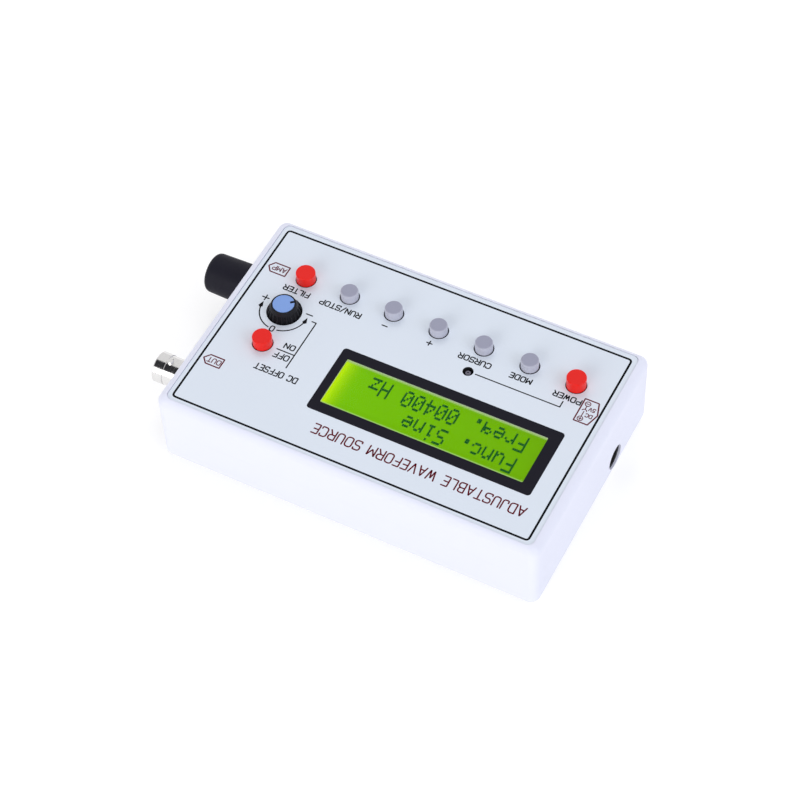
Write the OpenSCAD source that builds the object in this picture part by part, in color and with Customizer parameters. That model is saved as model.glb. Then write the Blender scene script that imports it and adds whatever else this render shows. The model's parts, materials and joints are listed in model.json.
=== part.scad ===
// Hand-held function generator in a two-part moulded case.
// The origin is the centre of the underside, +Z is up out of the panel, +X points to the output socket
// and +Y points to the title edge of the panel. All sizes are in millimetres.

/* [Case] */
// Length of the case along X
case_l = 122.3; // [122:0.1:124]
// Width of the case along Y
case_w = 76.8; // [76.8:0.1:79]
// Height of the case along Z
case_h = 27.7; // [27.7:0.1:29]
// Thickness of the walls and the floor
wall = 2; // [1.8:0.1:2.2]
// Radius of the four upright corners
corner_r = 3; // [2.9:0.1:4]
// Radius along the top and bottom edges
edge_r = 2.8; // [2:0.1:2.8]
// Height of the tongue that aligns the two halves
lap_h = 1.4; // [1:0.1:1.6]

/* [Panel] */
// Length of the printed overlay
overlay_l = 117; // [115:0.1:117]
// Width of the printed overlay
overlay_w = 72.7; // [71:0.1:72.8]
// Thickness of the overlay
overlay_t = 0.3; // [0.2:0.05:0.4]
// Depth of the overlay's face below the rim of the case
overlay_drop = 0.3; // [0.3:0.05:0.6]
// Thickness of the lid under the overlay
lid_t = 2; // [1.8:0.1:2.2]
// Radius of the holes for the grey caps
grey_hole_r = 3.05; // [3:0.05:3.2]
// Radius of the holes for the red caps
red_hole_r = 3.2; // [3.2:0.05:3.3]
// Radius of the hole for the offset knob
knob_hole_r = 5.4; // [5.3:0.1:6]

/* [Display] */
// Length of the metal bezel
bezel_l = 71; // [70.5:0.1:71.2]
// Width of the metal bezel
bezel_w = 23.7; // [23.5:0.1:24]
// Length of the window in the bezel
window_l = 64.5; // [64:0.1:65]
// Width of the window in the bezel
window_w = 16.95; // [16:0.05:17]
// Height of the bezel above its circuit board
bezel_h = 8; // [7.8:0.1:8.2]
// Thickness of the bezel's sheet metal
bezel_t = 0.5; // [0.4:0.05:0.6]

/* [Buttons] */
// Radius of the grey caps
grey_cap_r = 2.7; // [2.6:0.05:2.8]
// Radius of the red caps
red_cap_r = 2.95; // [2.8:0.05:2.95]
// Height of the grey caps above the overlay
grey_cap_up = 3.1; // [3:0.1:3.6]
// Height of the power button's cap above the overlay
power_cap_up = 3.9; // [3.5:0.1:4]
// Height of the other red caps above the overlay
red_cap_up = 3.45; // [3:0.05:3.6]
// Travel of the momentary buttons
tact_travel = 0.25; // [0.2:0.05:0.3]
// Travel of the latching buttons
latch_travel = 2; // [1.5:0.1:2]

/* [Knobs] */
// Radius of the offset knob where it leaves the panel
offset_knob_r = 4.95; // [4.8:0.05:5.2]
// Radius of the offset knob at its top
offset_knob_top_r = 3.78; // [3.6:0.02:4]
// Height of the offset knob above the overlay
offset_knob_up = 3.4; // [3.2:0.1:4]
// Direction in which the offset knob's notch points at rest, in degrees from +X
pointer_angle = 218.5; // [90:0.5:350]
// Radius of the amplitude knob at its inner end
amp_knob_r = 6.5; // [6:0.1:6.8]
// Radius of the amplitude knob at its outer end
amp_knob_end_r = 6.25; // [5.7:0.05:6.4]
// Distance from the case to the amplitude knob's outer end
amp_knob_out = 15.45; // [14:0.05:16]

/* [Connectors] */
// Radius of the coaxial socket's barrel
bnc_r = 4.8; // [4.78:0.01:4.85]
// Radius of the barrel's neck, where the bayonet lugs stand
bnc_neck_r = 4.6; // [4.5:0.01:4.62]
// Distance from the case to the barrel's open end
bnc_out = 11.35; // [10.5:0.05:11.5]
// Angle by which the bayonet lugs are turned from upright
bnc_lug_turn = 2; // [0:1:20]
// Radius of the socket hole in the centre contact
contact_bore_r = 0.7; // [0.68:0.01:0.72]
// Radius of the power inlet's centre pin
inlet_pin_r = 1; // [0.95:0.05:1.05]
// Radius of the pin's root, behind the floor of the socket
inlet_root_r = 1.4; // [1.3:0.05:1.6]
// Radius of the power inlet's socket
inlet_bore_r = 3.2; // [3.1:0.05:3.25]

/* [Hidden] */
$fn = 64;
EPS = 0.01;

// heights through the stack, from the underside up; the halves part at the axes of the side controls
part_z = 13.95;
overlay_z = case_h - overlay_drop;
lid_z = overlay_z - overlay_t;
lid_under = lid_z - lid_t;
board_t = 1.6;
board_z = 13.1;
board_top = board_z + board_t;
lcd_board_top = overlay_z - bezel_h;
lcd_board_z = lcd_board_top - board_t;
wall_x = case_l / 2;
inner_x = wall_x - wall;

// places on the panel
button_y = -19.8;
button_pitch = 14.78;
mode_x = -31.1;
mode_pos = [mode_x, button_y];
cursor_pos = [mode_x + button_pitch, button_y];
plus_pos = [mode_x + 2 * button_pitch, button_y];
minus_pos = [mode_x + 3 * button_pitch, button_y];
run_stop_pos = [mode_x + 4 * button_pitch, button_y];
power_pos = [-46.1, -19.4];
filter_pos = [42.9, -20];
offset_pos = [42.8, 6.75];
dial_pos = [42.9, -6.5];
led_pos = [-15.9, -10.2];
TACT_PLACES = [mode_pos, cursor_pos, plus_pos, minus_pos, run_stop_pos];
LATCH_PLACES = [power_pos, offset_pos, filter_pos];

// display
lcd_pos = [-15.2, 9.6];
lcd_board_size = [80, 36];
lcd_hole_step = [75, 31];
window_shift = 0.5;
header_pins = 16;
header_pitch = 2.54;
header_at = [-47.2, 25.2];

// boards, posts and screws
board_x = [-57, 48.5];
board_half_w = 34;
post_pos = [54.6, 31.9];
post_r = 3;
board_post_x = [-46, 45];
board_post_y = 31.4;
board_post_r = 2.8;
pilot_r = 1.1;
LCD_HOLES = [for (x = [-1, 1], y = [-1, 1]) lcd_pos + [x * lcd_hole_step[0] / 2, y * lcd_hole_step[1] / 2]];
BOARD_POSTS = [for (x = board_post_x, y = [-1, 1]) [x, y * board_post_y]];
CASE_POSTS = [for (x = [-1, 1], y = [-1, 1]) [x * post_pos[0], y * post_pos[1]]];
screw_r = 1.25;
case_screw_head_r = 2.6;
case_screw_head_z = 4.6;

// switches
tact_size = 6;
tact_h = 3.5;
tact_stem_r = 1.75;
tact_floor = 0.7;
leg_r = 0.35;
leg_hole_r = 0.5;
leg_z = 11.6;
tact_leg = [3.25, 2.25];
tact_cap_h = 6;
latch_size = 8.5;
latch_h = 8;
latch_stem = 3.3;
latch_cap_h = 5.2;
latch_spring_z = board_top + 0.8;
latch_spring_len = 4.4;
latch_leg = [2.5, 2.25];
slide_gap = 0.05;

// connectors on the +X wall
bnc_y = 19.1;
amp_y = -19.7;
bnc_hole_r = 4.9;
amp_hole_r = 3.6;
bnc_tip = wall_x + bnc_out;

// power inlet on the -X wall
inlet_y = -15;
inlet_z = board_z - 6.5;
inlet_wall = 0.7;
inlet_front = -wall_x + inlet_wall + 0.1;
inlet_back = inlet_front + 13.2;
inlet_depth = 9.5;

// ---- shared shapes -------------------------------------------------------------------------------

// rectangle with round corners, centred
module rounded_rect(l, w, r) {
    square([l - 2 * r, w], center = true);
    square([l, w - 2 * r], center = true);
    for (x = [-1, 1], y = [-1, 1])
        translate([x * (l / 2 - r), y * (w / 2 - r)]) circle(r = r);
}

// flat plate with round corners between two heights
module plate(l, w, r, z0, z1) {
    translate([0, 0, z0]) linear_extrude(z1 - z0) rounded_rect(l, w, r);
}

// box given by its centre in plan and two heights
module block(at, size, z0, z1) {
    translate([at[0] - size[0] / 2, at[1] - size[1] / 2, z0]) cube([size[0], size[1], z1 - z0]);
}

// upright round bar between two heights
module bar(at, r, z0, z1) {
    translate([at[0], at[1], z0]) cylinder(r = r, h = z1 - z0);
}

// places its children with their local Z along the row's X, at a height and a Y
module along_x(y, z) {
    translate([0, y, z]) rotate([0, 90, 0]) children();
}

// round bar along the local Z between two stations
module rod(r, a, b) {
    translate([0, 0, a]) cylinder(r = r, h = b - a);
}

// bar with a chamfer at its far end
module chamfered_rod(r, a, b, c) {
    rod(r, a, b - c);
    translate([0, 0, b - c]) cylinder(r1 = r, r2 = r - c, h = c);
}

// screw thread shown as a stack of ridges
module ridged_rod(r, depth, pitch, a, b) {
    turns = floor((b - a) / pitch);
    step = (b - a) / turns;
    ridges = [for (i = [0:turns - 1]) each [[r - depth, a + i * step], [r, a + (i + 0.5) * step]]];
    rotate_extrude() polygon(concat([[0, a]], ridges, [[r - depth, b], [0, b]]));
}

// nut with a plain bore
module hex_nut(corner, bore_r, a, b) {
    difference() {
        translate([0, 0, a]) cylinder(r = corner, h = b - a, $fn = 6);
        rod(bore_r, a - 1, b + 1);
    }
}

// pan-head screw that points up, with its head's underside at z
module screw_up(at, z, len, r, head_r, head_h) {
    translate([at[0], at[1], z]) {
        ridged_rod(r, 0.15, 0.6, 0, len);
        difference() {
            translate([0, 0, -head_h]) cylinder(r1 = head_r * 0.8, r2 = head_r, h = head_h);
            for (turn = [0, 90])
                rotate([0, 0, turn]) translate([-head_r * 0.6, -0.3, -head_h - 1])
                    cube([head_r * 1.2, 0.6, 1.7]);
        }
    }
}

// insulated wire through a list of points
module wire(points, r) {
    for (i = [0:len(points) - 2]) {
        run = points[i + 1] - points[i];
        translate(points[i])
            rotate([0, acos(run[2] / norm(run)), atan2(run[1], run[0])])
                cylinder(r = r, h = norm(run), $fn = 24);
    }
    for (i = [1:1:len(points) - 2]) translate(points[i]) sphere(r = r + 0.03, $fn = 24);
}

// ---- case ----------------------------------------------------------------------------------------

// solid block with every outer edge rounded
module case_block() {
    rotate([90, 0, 90]) translate([0, case_h / 2, -case_l / 2 + corner_r])
        linear_extrude(case_l - 2 * corner_r) rounded_rect(case_w, case_h, edge_r);
    rotate([90, 0, 0]) translate([0, case_h / 2, -case_w / 2 + corner_r])
        linear_extrude(case_w - 2 * corner_r) rounded_rect(case_l, case_h, edge_r);
    for (x = [-1, 1], y = [-1, 1])
        translate([x * (case_l / 2 - corner_r), y * (case_w / 2 - corner_r), 0])
            rotate_extrude() intersection() {
                translate([0, case_h / 2]) rounded_rect(2 * corner_r, case_h, edge_r);
                square([corner_r + 1, case_h]);
            }
}

// inside of the case between two heights, grown sideways by an amount
module cavity(grow, z0, z1) {
    plate(case_l - 2 * wall + 2 * grow, case_w - 2 * wall + 2 * grow, 1.5 + grow, z0, z1);
}

// holes shared by the two halves for the connectors on the +X wall
module side_holes() {
    along_x(bnc_y, part_z) rod(bnc_hole_r, inner_x - 5, wall_x + 5);
    along_x(amp_y, part_z) rod(amp_hole_r, inner_x - 5, wall_x + 5);
}

// openings through the panel, each grown by an amount
module panel_holes(grow, z0, z1) {
    for (at = TACT_PLACES) bar(at, grey_hole_r + grow, z0, z1);
    for (at = LATCH_PLACES) bar(at, red_hole_r + grow, z0, z1);
    bar(dial_pos, knob_hole_r + grow, z0, z1);
    bar(led_pos, 1.6 + grow, z0, z1);
    translate([lcd_pos[0], lcd_pos[1], 0]) plate(bezel_l + 0.2 + grow, bezel_w + 0.2 + grow, 1.1, z0, z1);
}

module top_shell() {
    color("white") difference() {
        union() {
            difference() {
                case_block();
                translate([-case_l, -case_w, -1]) cube([2 * case_l, 2 * case_w, part_z + 1]);
                cavity(0, part_z - 1, lid_under);
                cavity(0.9, part_z - 1, part_z + lap_h + 0.1);
            }
            for (at = CASE_POSTS) bar(at, post_r, part_z, lid_under + EPS);
            for (at = BOARD_POSTS) bar(at, board_post_r, board_top, lid_under + EPS);
        }
        plate(overlay_l + 0.2, overlay_w + 0.2, 2, lid_z, case_h + 1);
        panel_holes(0, lid_under - 1, case_h + 1);
        side_holes();
        for (at = CASE_POSTS) bar(at, pilot_r, part_z - 1, part_z + 8);
        for (at = BOARD_POSTS) bar(at, pilot_r, board_top - 1, board_top + 7);
    }
}

module bottom_shell() {
    color("white") difference() {
        union() {
            difference() {
                case_block();
                translate([-case_l, -case_w, part_z]) cube([2 * case_l, 2 * case_w, case_h]);
                cavity(0, wall, case_h);
            }
            difference() {
                cavity(0.85, part_z - 1, part_z + lap_h);
                cavity(0, part_z - 2, part_z + lap_h + 1);
            }
            for (at = CASE_POSTS) bar(at, post_r + 0.4, wall - EPS, part_z);
        }
        side_holes();
        // round hole for the inlet, and the seat that its front face drops into
        along_x(inlet_y, inlet_z) rod(4, -wall_x - 5, -inner_x + 1);
        block([inlet_wall + 1 - wall_x, inlet_y], [2, 9.4], wall, case_h);
        for (at = CASE_POSTS) {
            bar(at, case_screw_head_r + 0.3, -1, case_screw_head_z);
            bar(at, screw_r + 0.3, case_screw_head_z - 1, part_z + 1);
        }
    }
}

module panel_overlay() {
    color("lightsteelblue") difference() {
        plate(overlay_l, overlay_w, 1.9, lid_z, overlay_z);
        panel_holes(0, lid_z - 1, overlay_z + 1);
    }
}

module case_screws() {
    color("silver") for (at = CASE_POSTS)
        screw_up(at, case_screw_head_z, 16, screw_r - 0.15, case_screw_head_r, 1.8);
}

module board_screws() {
    color("silver") for (at = BOARD_POSTS)
        screw_up(at, board_z, 8, pilot_r, 2.3, 1.5);
}

// ---- display -------------------------------------------------------------------------------------

bezel_tab_x = [-28, -10, 10, 28];
module bezel_tabs(grow, z0, z1) {
    for (x = bezel_tab_x, y = [-1, 1])
        block(lcd_pos + [x, y * (bezel_w / 2 - bezel_t / 2)], [2 + grow, bezel_t + grow], z0, z1);
}

module lcd_bezel() {
    color("black") {
        translate([lcd_pos[0], lcd_pos[1], 0]) difference() {
            plate(bezel_l, bezel_w, 1, lcd_board_top, overlay_z);
            plate(bezel_l - 2 * bezel_t, bezel_w - 2 * bezel_t, 0.6, lcd_board_top - 1, overlay_z - bezel_t);
            translate([window_shift, 0, 0]) plate(window_l, window_w, 0.3, lcd_board_top, overlay_z + 1);
        }
        bezel_tabs(0, lcd_board_z - 0.6, lcd_board_top + EPS);
    }
}

module lcd_glass() {
    color("yellowgreen") block(lcd_pos, [bezel_l - 1.6, bezel_w - 1.6], overlay_z - 3.4, overlay_z - bezel_t);
}

module lcd_backlight() {
    color("greenyellow") block(lcd_pos, [bezel_l - 2.4, bezel_w - 6], lcd_board_top, overlay_z - 3.4);
}

module lcd_contact_strips() {
    color("dimgray") for (y = [-1, 1])
        block(lcd_pos + [0, y * (bezel_w / 2 - 1.8)], [60, 1.6], lcd_board_top, overlay_z - 3.4);
}

module header_row(r, z0, z1) {
    for (i = [0:header_pins - 1]) bar(header_at + [i * header_pitch, 0], r, z0, z1, $fn = 24);
}

module lcd_board() {
    color("darkgreen") {
        difference() {
            block(lcd_pos, lcd_board_size, lcd_board_z, lcd_board_top);
            for (at = LCD_HOLES) bar(at, 1.3, lcd_board_z - 1, lcd_board_top + 1);
            header_row(0.5, lcd_board_z - 1, lcd_board_top + 1);
            bezel_tabs(0.3, lcd_board_z - 1, lcd_board_top + 1);
        }
        // the two driver chips are bonded under the board and sealed by round drops of resin
        for (x = [-18, 18]) translate([lcd_pos[0] + x, lcd_pos[1], lcd_board_z - 1.4])
            cylinder(r1 = 5, r2 = 8, h = 1.4);
    }
}

module lcd_header() {
    strip_len = header_pins * header_pitch;
    strip_mid = header_at + [(header_pins - 1) * header_pitch / 2, 0];
    color("black") {
        block(strip_mid, [strip_len, header_pitch], board_top, board_top + header_pitch);
        header_row(0.32, leg_z, lcd_board_top + 1.4);
    }
}

module lcd_spacers() {
    color("ivory") for (at = LCD_HOLES) difference() {
        bar(at, 2.4, board_top, lcd_board_z);
        bar(at, 1.3, board_top - 1, lcd_board_z + 1);
    }
}

module lcd_screws() {
    color("silver") for (at = LCD_HOLES) {
        screw_up(at, board_z, lcd_board_top - board_z + 2.2, 1.2, 2.2, 1.3);
        translate([at[0], at[1], 0]) hex_nut(2.4, 1.2, lcd_board_top, lcd_board_top + 1.6);
    }
}

// ---- main board and what is soldered to it -------------------------------------------------------

offset_pot_legs = [for (x = [-2.5, 0, 2.5]) dial_pos + [x, -6.2]];
led_legs = [for (x = [-1.27, 1.27]) led_pos + [x, 0]];
inlet_leg = [inlet_back + 0.25, inlet_y + 0.8];
function tact_legs(at) = [for (x = [-1, 1], y = [-1, 1]) at + [x * tact_leg[0], y * tact_leg[1]]];
function latch_legs(at) = [for (x = [-1, 1], y = [-1, 0, 1]) at + [x * latch_leg[0], y * latch_leg[1]]];
TACT_LEGS = [for (at = TACT_PLACES) each tact_legs(at)];
LATCH_LEGS = [for (at = LATCH_PLACES) each latch_legs(at)];

module main_board() {
    mid_x = (board_x[0] + board_x[1]) / 2;
    notch = [14, 14];
    color("green") difference() {
        block([mid_x, 0], [board_x[1] - board_x[0], 2 * board_half_w], board_z, board_top);
        for (y = [-1, 1]) block([-post_pos[0] - 3, y * (post_pos[1] + 3)], notch, board_z - 1, board_top + 1);
        for (at = BOARD_POSTS) bar(at, 1.5, board_z - 1, board_top + 1);
        for (at = LCD_HOLES) bar(at, 1.3, board_z - 1, board_top + 1);
        header_row(0.5, board_z - 1, board_top + 1);
        for (at = concat(TACT_LEGS, LATCH_LEGS, offset_pot_legs, led_legs))
            bar(at, leg_hole_r, board_z - 1, board_top + 1, $fn = 24);
        bar(inlet_leg, 0.7, board_z - 1, board_top + 1, $fn = 24);
    }
}

// flat chip under the board with straight leads along two or four sides
module chip(at, size, h, leads, pitch, sides) {
    block(at, size, board_z - 0.15 - h, board_z - 0.15);
    for (turn = sides) translate([at[0], at[1], 0]) rotate([0, 0, turn])
        for (i = [0:leads - 1]) {
            across = turn % 180 == 0 ? size[1] : size[0];
            block([(i - (leads - 1) / 2) * pitch, across / 2 + 0.5], [pitch * 0.45, 1.2], board_z - 0.3, board_z);
        }
}

module microcontroller_chip() {
    color("black") chip([-8, 6], [10, 10], 1.1, 11, 0.8, [0, 90, 180, 270]);
}

module signal_chips() {
    color("black") for (at = [[22, 12], [22, 0], [32, 18]])
        chip(at, [5, 4], 1.5, 4, 1.27, [0, 180]);
}

module crystal() {
    color("silver") translate([-8, -6, board_z - 3.6]) {
        linear_extrude(3.6) rounded_rect(10.2, 3.8, 1.89);
        translate([0, 0, 3.2]) linear_extrude(0.4) rounded_rect(11.1, 4.7, 2.3);
    }
}

module capacitors() {
    color("midnightblue") for (at = [[-30, 8], [-30, -4], [-38, 8], [36, 6]])
        translate([at[0], at[1], board_z]) mirror([0, 0, 1]) {
            rod(2.5, 0, 1.2);
            rod(2.3, 1.2, 1.7);
            chamfered_rod(2.5, 1.7, 7, 0.3);
        }
}

module voltage_regulator() {
    color("dimgray") translate([6, 22, 0]) {
        block([0, 0], [10, 9], board_z - 4.5, board_z);
        difference() {
            block([0, 7.3], [10, 6], board_z - 1.3, board_z);
            bar([0, 7.6], 1.8, board_z - 2, board_z + 1);
        }
        for (x = [-2.54, 0, 2.54]) block([x, -6.5], [0.8, 4.2], board_z - 2.6, board_z - 2.1);
    }
}

module power_led() {
    color("gainsboro") {
        translate([led_pos[0], led_pos[1], 0]) {
            rod(1.9, 21.4, 22.4);
            rod(1.5, 22.4, 25.4);
            intersection() {
                translate([0, 0, 25.4]) sphere(r = 1.5);
                rod(2, 25.4, 28);
            }
        }
        for (at = led_legs) bar(at, 0.25, leg_z, 21.4 + EPS, $fn = 24);
    }
}

module tact_switch_housings() {
    color("dimgray") for (at = TACT_PLACES) {
        difference() {
            block(at, [tact_size, tact_size], board_top, board_top + tact_h);
            bar(at, tact_stem_r + slide_gap, board_top + tact_floor, board_top + tact_h + 1);
        }
        for (leg = tact_legs(at)) bar(leg, leg_r, leg_z, board_top + 0.6, $fn = 24);
    }
}

module latching_switch_housings() {
    hole = latch_stem + 2 * slide_gap;
    color("black") for (at = LATCH_PLACES) {
        difference() {
            block(at, [latch_size, latch_size], board_top, board_top + latch_h);
            block(at, [hole, hole], board_top + latch_h - 2, board_top + latch_h + 1);
            bar(at, 2.5, latch_spring_z, board_top + latch_h - 2 + EPS);
        }
        for (leg = latch_legs(at)) bar(leg, leg_r, board_z, board_top + EPS, $fn = 24);
    }
}

// ---- buttons -------------------------------------------------------------------------------------

// stem of a momentary switch
module tact_plunger(at) {
    color("black") bar(at, tact_stem_r, board_top + tact_floor + tact_travel + 0.05, overlay_z + grey_cap_up - 1.5);
}

// cap with a rounded top edge and a socket for its stem
module cap_body(r, up, h, edge) {
    top = overlay_z + up;
    rotate_extrude() {
        translate([0, top - h]) square([r, h - edge]);
        translate([0, top - edge - EPS]) square([r - edge, edge + EPS]);
        translate([r - edge, top - edge]) intersection() {
            circle(r = edge);
            square(edge);
        }
    }
}

module grey_cap(at) {
    top = overlay_z + grey_cap_up;
    color("silver") translate([at[0], at[1], 0]) difference() {
        cap_body(grey_cap_r, grey_cap_up, tact_cap_h, 0.6);
        rod(tact_stem_r + 0.02, top - tact_cap_h - 1, top - 1.5);
    }
}

// stem of a latching switch, with the pin that its spring is threaded on
module latch_plunger(at, up) {
    top = overlay_z + up - 1.5;
    shoulder = latch_spring_z + latch_spring_len;
    color("black") {
        block(at, [latch_stem, latch_stem], shoulder + 0.6, top);
        bar(at, 2.3, shoulder, shoulder + 0.7);
        bar(at, 0.9, latch_spring_z + latch_travel + 0.1, shoulder + EPS);
    }
}

module red_cap(at, up) {
    top = overlay_z + up;
    hole = latch_stem + 0.04;
    color("red") translate([at[0], at[1], 0]) difference() {
        cap_body(red_cap_r, up, latch_cap_h, 0.35);
        block([0, 0], [hole, hole], top - latch_cap_h - 1, top - 1.5);
    }
}

// return spring, swept along a helix whose ends rest on the floor and under the shoulder
spring_r = 1.7;
spring_wire_r = 0.22;
spring_turns = 5;
spring_steps = 14;
spring_sides = 6;
function spring_point(i, s, total) =
    let (turn = 360 * i / spring_steps, round = 360 * s / spring_sides + 30)
    let (rise = (latch_spring_len - 2 * spring_wire_r) * i / total, r = spring_r + spring_wire_r * cos(round))
    [r * cos(turn), r * sin(turn), spring_wire_r + rise + spring_wire_r * sin(round)];
module return_spring(at) {
    total = spring_turns * spring_steps;
    points = [for (i = [0:total], s = [0:spring_sides - 1]) spring_point(i, s, total)];
    side = [for (i = [0:total - 1], s = [0:spring_sides - 1])
        let (n = (s + 1) % spring_sides, a = i * spring_sides, b = a + spring_sides)
        [a + s, a + n, b + n, b + s]];
    first = [for (s = [spring_sides - 1:-1:0]) s];
    last = [for (s = [0:spring_sides - 1]) total * spring_sides + s];
    color("silver") translate([at[0], at[1], latch_spring_z])
        polyhedron(points, concat([first], side, [last]), convexity = 8);
}

module mode_plunger() { tact_plunger(mode_pos); }
module mode_cap() { grey_cap(mode_pos); }
module cursor_plunger() { tact_plunger(cursor_pos); }
module cursor_cap() { grey_cap(cursor_pos); }
module plus_plunger() { tact_plunger(plus_pos); }
module plus_cap() { grey_cap(plus_pos); }
module minus_plunger() { tact_plunger(minus_pos); }
module minus_cap() { grey_cap(minus_pos); }
module run_stop_plunger() { tact_plunger(run_stop_pos); }
module run_stop_cap() { grey_cap(run_stop_pos); }
module power_plunger() { latch_plunger(power_pos, power_cap_up); }
module power_cap() { red_cap(power_pos, power_cap_up); }
module power_spring() { return_spring(power_pos); }
module offset_plunger() { latch_plunger(offset_pos, red_cap_up); }
module offset_cap() { red_cap(offset_pos, red_cap_up); }
module offset_spring() { return_spring(offset_pos); }
module filter_plunger() { latch_plunger(filter_pos, red_cap_up); }
module filter_cap() { red_cap(filter_pos, red_cap_up); }
module filter_spring() { return_spring(filter_pos); }

// ---- offset control ------------------------------------------------------------------------------

pot_shaft_r = 3;
pot_bore_r = 3.05;
offset_body_top = 21.3;
offset_collar_top = 22.4;
offset_knob_z = 22.8;
offset_shaft_top = 29.2;
flat_depth = 1.4;

// shaft with a flat on one side of its upper part
module d_shaft(r, a, flat_from, b) {
    difference() {
        rod(r, a, b);
        translate([r - flat_depth, -r - 1, flat_from]) cube([flat_depth + 1, 2 * r + 2, b - flat_from + 1]);
    }
}

module offset_pot_body() {
    color("seagreen") {
        difference() {
            union() {
                block(dial_pos, [9.8, 11], board_top, offset_body_top);
                bar(dial_pos, 3.9, offset_body_top - EPS, offset_collar_top);
            }
            bar(dial_pos, pot_bore_r, board_top + 1, offset_collar_top + 1);
        }
        for (at = offset_pot_legs) {
            bar(at, leg_r, leg_z, board_top + 1.2, $fn = 24);
            block(at + [0, 0.5], [0.8, 1.4], board_top + 1, board_top + 1.4);
        }
    }
}

module offset_pot_shaft() {
    color("silver") translate([dial_pos[0], dial_pos[1], 0]) rotate([0, 0, pointer_angle])
        d_shaft(pot_shaft_r, board_top + 1.3, offset_collar_top + 1, offset_shaft_top);
}

// upright cone with flutes cut down its side
module offset_knob() {
    top = overlay_z + offset_knob_up;
    flutes = 20;
    lean = atan((offset_knob_r - offset_knob_top_r) / offset_knob_up);
    color("black") translate([dial_pos[0], dial_pos[1], 0]) rotate([0, 0, pointer_angle]) difference() {
        union() {
            rod(offset_knob_r, offset_knob_z, overlay_z);
            translate([0, 0, overlay_z])
                cylinder(r1 = offset_knob_r, r2 = offset_knob_top_r, h = offset_knob_up);
        }
        for (i = [0:flutes - 1]) rotate([0, 0, (i + 0.5) * 360 / flutes])
            translate([offset_knob_r + 0.25, 0, overlay_z - 0.6]) rotate([0, -lean, 0])
                cylinder(r = 0.5, h = 2.9, $fn = 24);
        d_shaft(pot_shaft_r + 0.02, offset_knob_z - 1, offset_knob_z + 0.6, offset_shaft_top);
        rod(offset_knob_top_r - 0.5, top - 1.1, top + 1);
    }
}

// coloured disc in the knob's top, with the pointer notch at its edge
module offset_knob_cap() {
    top = overlay_z + offset_knob_up;
    disc_r = offset_knob_top_r - 0.53;
    color("cornflowerblue") translate([dial_pos[0], dial_pos[1], 0]) rotate([0, 0, pointer_angle]) difference() {
        rod(disc_r, top - 1.1, top + 0.15);
        translate([disc_r - 1.3, -0.4, top - 0.6]) cube([2, 0.8, 2]);
    }
}

// ---- amplitude control ---------------------------------------------------------------------------

amp_nut_in = wall_x + 0.5;
amp_nut_out = amp_nut_in + 1.8;
amp_bush_end = amp_nut_out + 1;
amp_knob_in = amp_nut_out + 0.5;
amp_tip = wall_x + amp_knob_out;
amp_can_r = 8.2;

module amp_pot_body() {
    color("tan") along_x(amp_y, part_z) {
        difference() {
            union() {
                rod(amp_can_r, inner_x - 9, inner_x - 3.2);
                rod(amp_can_r - 0.4, inner_x - 3.2, inner_x - 1.4);
            }
            rod(pot_bore_r, inner_x - 8, inner_x);
        }
        // solder lugs that leave the track board downwards
        for (y = [-5, 0, 5]) translate([amp_can_r - 2.6, y - 0.7, inner_x - 2.4]) cube([5, 1.4, 0.5]);
    }
}

module amp_pot_bushing() {
    color("silver") along_x(amp_y, part_z) difference() {
        union() {
            rod(amp_can_r - 0.2, inner_x - 1.4, inner_x);
            ridged_rod(3.5, 0.2, 0.75, inner_x - EPS, amp_bush_end);
        }
        rod(pot_bore_r, inner_x - 2, amp_bush_end + 1);
    }
}

module amp_pot_washer() {
    color("silver") along_x(amp_y, part_z) difference() {
        rod(5.6, wall_x, amp_nut_in);
        rod(3.6, wall_x - 1, amp_nut_in + 1);
    }
}

module amp_pot_nut() {
    color("silver") along_x(amp_y, part_z) hex_nut(5.5, 3.5, amp_nut_in, amp_nut_out);
}

module amp_pot_shaft() {
    color("silver") along_x(amp_y, part_z) d_shaft(pot_shaft_r, inner_x - 7.8, amp_bush_end, amp_tip - 2.4);
}

// smooth knob, slightly slimmer at its outer end, with a rounded rim
module amp_knob() {
    rim = 1.8;
    color("black") along_x(amp_y, part_z) difference() {
        rotate_extrude() {
            polygon([[0, amp_knob_in], [amp_knob_r, amp_knob_in], [amp_knob_end_r, amp_tip - rim],
                     [amp_knob_end_r - rim, amp_tip - rim + EPS], [0, amp_tip - rim + EPS]]);
            translate([0, amp_tip - rim]) square([amp_knob_end_r - rim, rim]);
            translate([amp_knob_end_r - rim, amp_tip - rim]) intersection() {
                circle(r = rim);
                square(rim);
            }
        }
        rod(4.4, amp_knob_in - 1, amp_bush_end + 0.3);
        d_shaft(pot_shaft_r + 0.02, amp_knob_in - 1, amp_bush_end + 0.2, amp_tip - 2.4);
    }
}

// ---- output socket -------------------------------------------------------------------------------

bnc_flange_out = wall_x + 1.9;
bnc_seat = bnc_tip - 6.6;
bnc_rear = inner_x - 7;
bnc_contact_r = 1.05;
bnc_lug_x = bnc_tip - 4.7;
bnc_nose = bnc_lug_x + 1.15;

module bnc_shell() {
    color("silver") along_x(bnc_y, part_z) difference() {
        union() {
            ridged_rod(4.7, 0.25, 0.8, bnc_rear, wall_x + EPS);
            translate([0, 0, wall_x]) cylinder(r = 7.2, h = bnc_flange_out - wall_x, $fn = 6);
            rod(bnc_neck_r, bnc_flange_out - EPS, bnc_nose + EPS);
            chamfered_rod(bnc_r, bnc_nose, bnc_tip, 0.35);
            // bayonet lugs above and below the barrel
            for (side = [-90, 90]) translate([0, 0, bnc_lug_x])
                rotate([0, 0, -bnc_lug_turn]) rotate([0, side, 0]) chamfered_rod(1, 4.3, 5.5, 0.2);
        }
        rod(4.05, bnc_seat, bnc_tip + 1);
        rod(3, bnc_rear - 1, bnc_tip);
    }
}

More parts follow.
